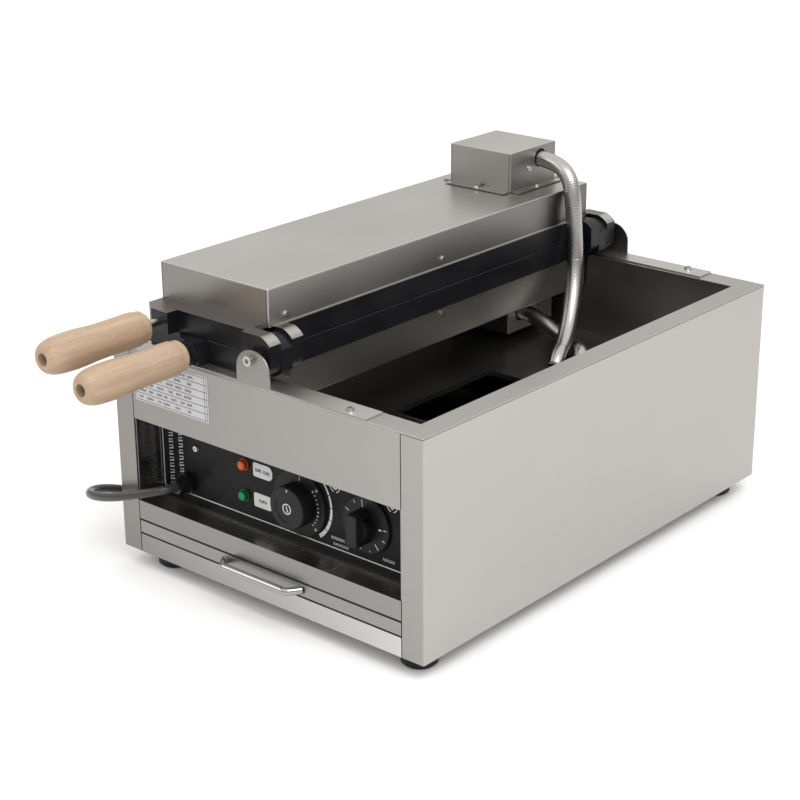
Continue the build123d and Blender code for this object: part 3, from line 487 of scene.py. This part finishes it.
def make_materials():
    """The record's slots, each with its own material."""
    amber, green = (0.55, 0.095, 0.014), (0.007, 0.21, 0.075)
    # front and side give painted shade and light on the steels' faces, as shares of their middle tone
    return {
        "steel_shell": brushed("steel_shell", (0.41, 0.40, 0.383), (0.45, 0.438, 0.42), rough=(0.31, 0.35)),
        "steel_recess": brushed(
            "steel_recess", (0.27, 0.262, 0.25), (0.33, 0.32, 0.31), rough=(0.22, 0.32), front=(0.82, 1.0)),
        "steel_basin": brushed(
            "steel_basin", (0.29, 0.28, 0.265), (0.38, 0.366, 0.35), rough=(0.3, 0.45), stain=0.35),
        "steel_cover": brushed(
            "steel_cover", (0.46, 0.447, 0.427), (0.53, 0.515, 0.495), rough=(0.30, 0.40), stain=0.06,
            front=(0.44, 0.66), side=(0.84, 0.31, 0.46, 0.85)),
        "steel_bracket": brushed(
            "steel_bracket", (0.50, 0.488, 0.465), (0.56, 0.547, 0.524), rough=(0.3, 0.42), along="x",
            front=(0.45, 0.50)),
        "drawer_steel": brushed(
            "drawer_steel", (0.39, 0.38, 0.36), (0.44, 0.43, 0.41), rough=(0.3, 0.42), along="x",
            front=(0.70, 0.80)),
        "galvanised_steel": bright_metal("galvanised_steel", (0.40, 0.41, 0.42), 0.42, grain=160),
        # the fittings' faces, deep in the junction boxes' holes, get painted shade
        "bright_bolt": bright_metal("bright_bolt", (0.52, 0.51, 0.48), 0.22, painted_shade_x=FITTING_X),
        "chrome_pull": bright_metal("chrome_pull", (0.40, 0.40, 0.385), 0.10),
        "steel_conduit": bright_metal("steel_conduit", (0.47, 0.46, 0.445), 0.25),
        "casting_black": casting(),
        "black_panel": moulded("black_panel", (0.0050, 0.0047, 0.0050), 0.32, specular=0.11),
        "knob_black": moulded("knob_black", (0.0048, 0.0044, 0.0047), 0.40, specular=0.22),
        "switch_body": moulded("switch_body", (0.05, 0.05, 0.052), 0.5),
        "black_nylon": moulded("black_nylon", (0.0035, 0.0035, 0.0038), 0.24, specular=0.35),
        "plug_plastic": moulded("plug_plastic", (0.020, 0.020, 0.022), 0.34, specular=0.4),
        "grey_cord": moulded(
            "grey_cord", (0.021, 0.020, 0.020), 0.36, relief=0.00003, specular=0.4, coat=0.25),
        "foot_rubber": moulded("foot_rubber", (0.006, 0.006, 0.0065), 0.55, specular=0.3),
        "amber_lens": lens("amber_lens", amber, 0.08),
        "green_lens": lens("green_lens", green, 0.06),
        "white_label": paper("white_label", (0.60, 0.61, 0.61)),
        "label_foil": paper("label_foil", (0.50, 0.50, 0.52), rough=0.34),
        "beech": beech(),
        "heater_sheath": bright_metal("heater_sheath", (0.32, 0.29, 0.27), 0.4, grain=300),
        "mineral_wool": wool(),
        "ceramic": moulded("ceramic", (0.62, 0.60, 0.54), 0.35, grain=900),
    }


# ---- mesh helpers -----------------------------------------------------------------------------------
PRINT_DEPTH = 0.12  # how far printed marks stand out
SMALL_DEPTH = 0.06


def add_piece(name, bm, material, body, smooth=False):
    bmesh.ops.recalc_face_normals(bm, faces=bm.faces)
    mesh = bpy.data.meshes.new(name)
    bm.to_mesh(mesh)
    bm.free()
    mesh.materials.append(material)
    if smooth:
        mesh.shade_smooth()
    piece = bpy.data.objects.new(name, mesh)
    bpy.context.scene.collection.objects.link(piece)
    if body:
        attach(piece, body)
    return piece


def prism(bm, outline, y, depth):
    """A flat shape given by (x, z) points, standing depth in front of the plane at y."""
    front = [bm.verts.new(at(x, y - depth, z)) for x, z in outline]
    rear = [bm.verts.new(at(x, y, z)) for x, z in outline]
    bm.faces.new(front)
    bm.faces.new(rear[::-1])
    count = len(outline)
    for k in range(count):
        n = (k + 1) % count
        bm.faces.new((front[k], rear[k], rear[n], front[n]))


def stroke(bm, start, end, width, y, depth=PRINT_DEPTH):
    """A straight printed line between two (x, z) points."""
    along = Vector(end) - Vector(start)
    side = Vector((-along.y, along.x)).normalized() * width / 2
    a, b = Vector(start), Vector(end)
    prism(bm, [a - side, b - side, b + side, a + side], y, depth)


def polar(centre, radius, turn):
    """The (x, z) point at a radius and an angle from a centre."""
    return (centre[0] + radius * math.cos(turn), centre[1] + radius * math.sin(turn))


def disc(bm, centre, radius, y, sides=16):
    prism(bm, [polar(centre, radius, 2 * math.pi * k / sides) for k in range(sides)], y, PRINT_DEPTH)


def band(bm, centre, inner, outer, start, end, y, steps):
    """A curved printed band. inner and outer give the radii at each share of the way; angles in degrees."""
    def rim(radius, k):
        return polar(centre, radius(k / steps), math.radians(start + (end - start) * k / steps))
    outline = [rim(inner, k) for k in range(steps + 1)] + [rim(outer, k) for k in range(steps, -1, -1)]
    prism(bm, outline, y, PRINT_DEPTH)


def hoop(bm, centre, inner, outer, y, steps, start=0, end=360):
    """A printed ring, or a part of one, of even width."""
    band(bm, centre, lambda t: inner, lambda t: outer, start, end, y, steps)


def smooth_route(name, points):
    """Points along the NURBS line that has these points as its control points."""
    curve = bpy.data.curves.new(name, "CURVE")
    curve.dimensions = "3D"
    curve.resolution_u = 24
    add_spline(curve, points)
    holder = bpy.data.objects.new(name, curve)
    mesh = bpy.data.meshes.new_from_object(holder)
    line = [v.co.copy() for v in mesh.vertices]
    bpy.data.objects.remove(holder)
    bpy.data.meshes.remove(mesh)
    return line


def add_spline(curve, points):
    spline = curve.splines.new("NURBS")
    spline.points.add(len(points) - 1)
    for point, place in zip(spline.points, points):
        point.co = (*at(*place), 1)
    spline.order_u = 3
    spline.use_endpoint_u = True


def resampled(line, step):
    """The same line with points step metres apart."""
    marks = [0.0]
    for a, b in zip(line, line[1:]):
        marks.append(marks[-1] + (b - a).length)
    count = max(2, round(marks[-1] / step))
    out, k = [], 0
    for n in range(count + 1):
        target = marks[-1] * n / count
        while k < len(marks) - 2 and marks[k + 1] < target:
            k += 1
        share = (target - marks[k]) / max(1e-9, marks[k + 1] - marks[k])
        out.append(line[k].lerp(line[k + 1], min(1.0, share)))
    return out


def tube_mesh(line, radius_at):
    """A closed tube along a line, its radius given for each point number."""
    sides = 28
    bm = bmesh.new()
    tangent = (line[1] - line[0]).normalized()
    across = tangent.orthogonal().normalized()
    rings = []
    for k, place in enumerate(line):
        ahead = line[min(k + 1, len(line) - 1)] - line[max(k - 1, 0)]
        across = across - ahead.normalized() * across.dot(ahead.normalized())
        across.normalize()
        other = ahead.normalized().cross(across)
        r = radius_at(k)
        ring = []
        for s in range(sides):
            turn = 2 * math.pi * s / sides
            ring.append(bm.verts.new(place + across * r * math.cos(turn) + other * r * math.sin(turn)))
        rings.append(ring)
    for a, b in zip(rings, rings[1:]):
        for s in range(sides):
            n = (s + 1) % sides
            bm.faces.new((a[s], a[n], b[n], b[s]))
    bm.faces.new(rings[0][::-1])
    bm.faces.new(rings[-1])
    return bm


# ---- conduits ---------------------------------------------------------------------------------------
TURN_PITCH = 0.0026
POINTS_A_TURN = 4
GROOVE = 0.0001


def conduit(name, line, steel, first=0):
    """Strip-wound steel conduit: flat crests with a narrow groove at every turn."""
    def radius(k):
        return HOSE_R * MM - (GROOVE if (k + first) % POINTS_A_TURN == 0 else 0.0)
    return add_piece(name, tube_mesh(line, radius), steel, None, smooth=True)


def make_hoses(steel):
    """One conduit to the lower half, and one to the upper half in two pieces that join at the lower half."""
    lower, upper = (
        resampled(smooth_route(name, points), TURN_PITCH / POINTS_A_TURN)
        for name, points in (("lower_conduit_route", LOWER_HOSE), ("upper_conduit_route", UPPER_HOSE)))
    piece = conduit("lower_conduit", lower, steel)
    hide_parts("lower_hose")
    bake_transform(piece)
    middle = len(upper) // 2
    top = conduit("upper_conduit_top", upper[:middle + 1], steel)
    foot = conduit("upper_conduit_foot", upper[middle:], steel, first=middle)
    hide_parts("upper_hose")
    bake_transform(top)
    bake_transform(foot)


# ---- power cord -------------------------------------------------------------------------------------
def eased(value, low, high):
    """0 below low, 1 above high, and a smooth change between."""
    t = min(1.0, max(0.0, (value - low) / (high - low)))
    return t * t * (3 - 2 * t)


def coil_points():
    """Three turns: outer and inner on the floor, then one on top of them that moves outwards to leave."""
    wide, narrow, lift = 52.0, 43.0, 2 * CORD_R
    points = []
    for angle in range(-10, 1088, 18):
        radius = wide - (wide - narrow) * (eased(angle, 300, 352) - eased(angle, 900, 960))
        height = CORD_ON_FLOOR + lift * eased(angle, 610, 662)
        turn = math.radians(angle)
        points.append((COIL_X + radius * math.cos(turn), COIL_Y + radius * math.sin(turn), height))
    return points


def make_cord(sheath):
    curve = bpy.data.curves.new("power_cord_line", "CURVE")
    curve.dimensions = "3D"
    curve.resolution_u = 8
    curve.bevel_depth = CORD_R * MM
    curve.bevel_resolution = 6
    curve.use_fill_caps = True
    add_spline(curve, CORD + coil_points() + TAIL)
    curve.materials.append(sheath)
    piece = bpy.data.objects.new("power_cord_flex", curve)
    bpy.context.scene.collection.objects.link(piece)
    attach(piece, "body")
    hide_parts("power_cord", "cord_coil", "power_cord_tail")


# ---- printing ---------------------------------------------------------------------------------------
def marks_row(bm, x, z, count, pitch, tall, y, bold, lean=0.0):
    """A row of small upright marks with short crossbars, which reads as print without any letters."""
    for k in range(count):
        left = x + k * pitch
        stroke(bm, (left, z - tall / 2), (left + lean, z + tall / 2), bold, y, SMALL_DEPTH)
        bar_z = z + tall * (0.42, -0.42, 0.0)[k % 3]
        stroke(bm, (left, bar_z), (left + pitch * 0.62, bar_z), bold, y, SMALL_DEPTH)


def make_panel_print(white, grey):
    """The control panel's frame line, heat scale, signs and rows of marks."""
    bm = bmesh.new()
    # a frame line that is open to the right
    left, right, bottom, top = 28.8, 366.0, 62.5, 139.5
    for a, b in (((left, bottom), (right, bottom)), ((left, bottom), (left, top)),
                 ((left, top), (right, top))):
        stroke(bm, a, b, 1.15, PANEL_Y)
    # the thermostat's heat scale, a tapering band cut into segments
    centre = (THERMOSTAT[0] + 0.5, THERMOSTAT[1] + 1.8)
    segments, first, sweep, filled = 7, 80.0, 134.0, 0.93
    rim, narrowest, growth = 39.4, 0.8, 3.4
    for k in range(segments):
        begin, end = (first - sweep * share / segments for share in (k, k + filled))

        def inner(t, k=k):
            return rim - narrowest - growth * ((k + t) / segments) ** 1.3
        band(bm, centre, inner, lambda t: rim, begin, end, PANEL_Y, steps=8)
    # signs over the knobs, reduced to broken rings round a dot
    for x in (260.7, 330.0):
        for start, end in ((165, 255), (285, 375)):
            hoop(bm, (x, 125.5), 5.5, 6.4, PANEL_Y, 14, start, end)
        hoop(bm, (x, 124.5), 1.2, 2.6, PANEL_Y, 16)
    add_piece("panel_print", bm, white, "body")
    bm = bmesh.new()
    # two columns of short slanted marks beside the cord's outlet
    for x, low, count in ((40.5, 66, 9), (54.5, 84, 7)):
        for k in range(count):
            z = low + 6.6 * k
            stroke(bm, (x - 3.0, z - 1.2), (x + 3.0, z + 0.6), 1.3, PANEL_Y)
            stroke(bm, (x - 3.0, z + 2.0), (x + 2.6, z + 3.4), 0.9, PANEL_Y)
            if k % 2:
                stroke(bm, (x - 2.4, z - 1.0), (x - 2.0, z + 2.6), 0.9, PANEL_Y)
            else:
                stroke(bm, (x + 2.2, z + 0.4), (x + 2.4, z + 3.2), 0.9, PANEL_Y)
    # rows of marks under the two knobs: left end, height, number, spacing, size, thickness, slant
    for x, z, count, pitch, tall, bold, lean in (
            (255.0, 72.8, 11, 1.55, 2.7, 0.75, 0.3), (257.6, 67.0, 12, 1.62, 2.6, 0.65, 0.3),
            (318.5, 69.6, 9, 1.65, 2.9, 0.65, 0.4)):
        marks_row(bm, x, z, count, pitch, tall, PANEL_Y, bold, lean)
    add_piece("panel_marks", bm, grey, "body")


def slab(bm, left, right, low, high, y, depth):
    """A plain rectangle that stands depth in front of the plane at y."""
    prism(bm, [(left, low), (right, low), (right, high), (left, high)], y, depth)


def make_seam_shadows(black):
    """Painted shadow: dark strips deep in the open gaps round the front panel and the drawer front, and dark
    lines painted as shade along the gaps' edges.
    """
    # painted shadow strips in the gaps, and painted shadow lines on the front faces beside them
    shadow_strip_y, shadow_strip_depth = 1.1, 0.5
    shadow_edge_y, shadow_edge_depth = 0.0, 0.04
    bm = bmesh.new()
    for low, high in ((20.08, 21.02), (34.68, 35.82)):
        slab(bm, 26.4, 367.6, low, high, shadow_strip_y, shadow_strip_depth)
    for left in (25.08, 368.08):
        for low, high in ((0.5, 54.0), (144.5, 215.0)):
            slab(bm, left, left + 0.84, low, high, shadow_strip_y, shadow_strip_depth)
    for low, high in ((19.5, 20.0), (35.9, 36.4)):
        slab(bm, 26.0, 368.0, low, high, shadow_edge_y, shadow_edge_depth)
    add_piece("front_seam_shadows", bm, black, "body")
    bm = bmesh.new()
    for low, high in ((21.1, 21.5), (34.2, 34.6)):
        slab(bm, 26.2, 367.8, low, high, shadow_edge_y, shadow_edge_depth)
    add_piece("drawer_edge_shadows", bm, black, "drawer")


def make_label_marks(ink):
    """Marks on the two lamp labels, then the rating sticker's rules with random dashes between them."""
    bm = bmesh.new()
    upper, lower = LABELS
    for x, z, count, tall in ((158.5, upper, 5, 3.3), (169.2, upper - 0.3, 5, 3.3), (162.5, lower, 6, 3.1)):
        marks_row(bm, x, z, count, 1.75, tall, LABEL_Y, 0.85)
    add_piece("label_marks", bm, ink, "body")
    bm = bmesh.new()
    left, right, low, high = 32.6, 130.9, 166.1, 208.9
    rows, pitch, rule_depth = 6, 1.5, 0.05
    for k in range(rows + 1):
        z = low + (high - low) * k / rows
        stroke(bm, (left, z), (right, z), 0.5, STICKER_Y, rule_depth)
    for x in (left, right, right - 3.2):
        stroke(bm, (x, low), (x, high), 0.45, STICKER_Y, rule_depth)
    dice = random.Random(4)
    for k in range(rows):
        z = low + (high - low) * (k + 0.5) / rows
        x = left + 4
        while x < right - 18:
            count = dice.randint(3, 7)
            marks_row(bm, x, z, count, pitch, 2.4, STICKER_Y, 0.6, lean=0.3)
            x += pitch * count + dice.uniform(2.0, 6 if k % 2 else 12)
    add_piece("rating_rules", bm, ink, "body")


def ray(bm, centre, degrees, inner, outer, width, y):
    """A dial tick between two radii."""
    turn = math.radians(degrees)
    stroke(bm, polar(centre, inner, turn), polar(centre, outer, turn), width, y)


def make_knob_marks(white):
    bm = bmesh.new()
    x, z = THERMOSTAT
    # an arc of dots on the skirt, a tick before it, a small ring at both ends and a mark on the cap's rim
    for k in range(10):
        spot = polar(THERMOSTAT, 25.0, math.radians(42 - 9.5 * k))
        disc(bm, spot, 1.0 if k in (0, 5, 6) else 0.75, SKIRT_Y, sides=12)
    ray(bm, THERMOSTAT, 86, 23.0, 27.6, 0.8, SKIRT_Y)
    for degrees in (39, -45):
        hoop(bm, polar(THERMOSTAT, 30.0, math.radians(degrees)), 0.9, 1.4, SKIRT_Y, 14)
    stroke(bm, (x + 0.6, z + 16.8), (x + 1.6, z + 19.6), 0.9, CAP_RIM_Y, depth=0.08)
    # ring on the cap with a slanted bar and a dot in it
    z -= 0.6
    hoop(bm, (x, z), 4.3, 5.4, CAP_Y, 32)
    stroke(bm, (x - 0.9, z + 2.4), (x + 0.7, z - 1.2), 1.1, CAP_Y)
    disc(bm, (x + 1.0, z - 2.2), 0.9, CAP_Y)
    add_piece("thermostat_marks", bm, white, "thermostat")
    bm = bmesh.new()
    ticks = ((154, 21.5, 26.0), (122, 22.4, 25.2), (98, 17.6, 24.8), (3, 22.4, 25.8),
             (-24, 22.8, 25.8), (-52, 19.6, 25.8), (-77, 24.6, 25.8), (-103, 24.6, 25.8))
    for degrees, inner, outer in ticks:
        ray(bm, TIMER, degrees, inner, outer, 0.85, TIMER_Y)
    ray(bm, TIMER, 1, 16.4, 20.0, 1.5, TIMER_Y)
    add_piece("timer_marks", bm, white, "timer")


# ---- cooking faces ----------------------------------------------------------------------------------
BAR_CORNERS = [
    (end, edge, up) for up in (0, 1) for end, edge in ((-1, -1), (-1, 1), (1, 1), (1, -1))]
BAR_FACES = ((0, 1, 2, 3), (4, 5, 6, 7), (0, 1, 5, 4), (1, 2, 6, 5), (2, 3, 7, 6), (3, 0, 4, 7))


def make_lattice(name, body, side, iron):
    """Crossed ribs on the floor of each cavity, which print the wafer's pattern."""
    bm = bmesh.new()
    pitch, foot, crest, height = 11.0, 2.6, 1.1, 1.1
    end_slope, shortest = 0.8, 4
    floor_z = HINGE_Z + side * (PLATE_FACE + CAVITY_DEPTH)
    rise = Vector((0, 0, -side * height))
    radius = CAVITY_R - 1.0
    for cavity in (-1, 0, 1):
        centre = Vector((PLATE_MID_X, PLATE_MID_Y + cavity * CAVITY_PITCH, floor_z))
        for slope in (45, 135):
            turn = math.radians(slope)
            along = Vector((math.cos(turn), math.sin(turn), 0))
            across = Vector((-along.y, along.x, 0))
            for k in range(-5, 6):
                away = k * pitch
                half = math.sqrt(max(0.0, radius**2 - (abs(away) + foot / 2) ** 2))
                if half < shortest:
                    continue
                corners = []
                for end, edge, up in BAR_CORNERS:
                    reach = along * end * (half - end_slope * up)
                    wide = across * (away + edge * (crest if up else foot) / 2)
                    corners.append(bm.verts.new(at(*(centre + reach + wide + rise * up))))
                for face in BAR_FACES:
                    bm.faces.new([corners[i] for i in face])
    add_piece(name, bm, iron, body)


# ---- putting it together ----------------------------------------------------------------------------
def main():
    bpy.context.scene.view_settings.view_transform = "Standard"
    make_camera()
    make_world()
    make_floor()
    middle = (cad_box[0] + cad_box[1]) / 2
    softbox("key", middle + Vector((1.6, -0.6, 2.2)), middle, width=2.2, height=1.6, power=40)
    softbox("fill", middle + Vector((-1.8, -1.8, 1.4)), middle, width=1.6, height=1.2, power=10)

    materials = make_materials()
    for entry in frame["record"]["subparts"]:
        node = nodes[entry["node"]]
        node.data.materials.clear()
        node.data.materials.append(materials[entry["material_slot"]])
    make_cord(materials["grey_cord"])
    make_hoses(materials["steel_conduit"])
    make_panel_print(materials["white_label"], materials["label_foil"])
    # painted shadow in the open gaps at the front
    make_seam_shadows(materials["foot_rubber"])
    make_label_marks(materials["black_panel"])
    make_knob_marks(materials["white_label"])
    for level, side in (("lower", -1), ("upper", 1)):
        make_lattice(f"{level}_lattice", f"{level}_mould", side, materials["casting_black"])


main()
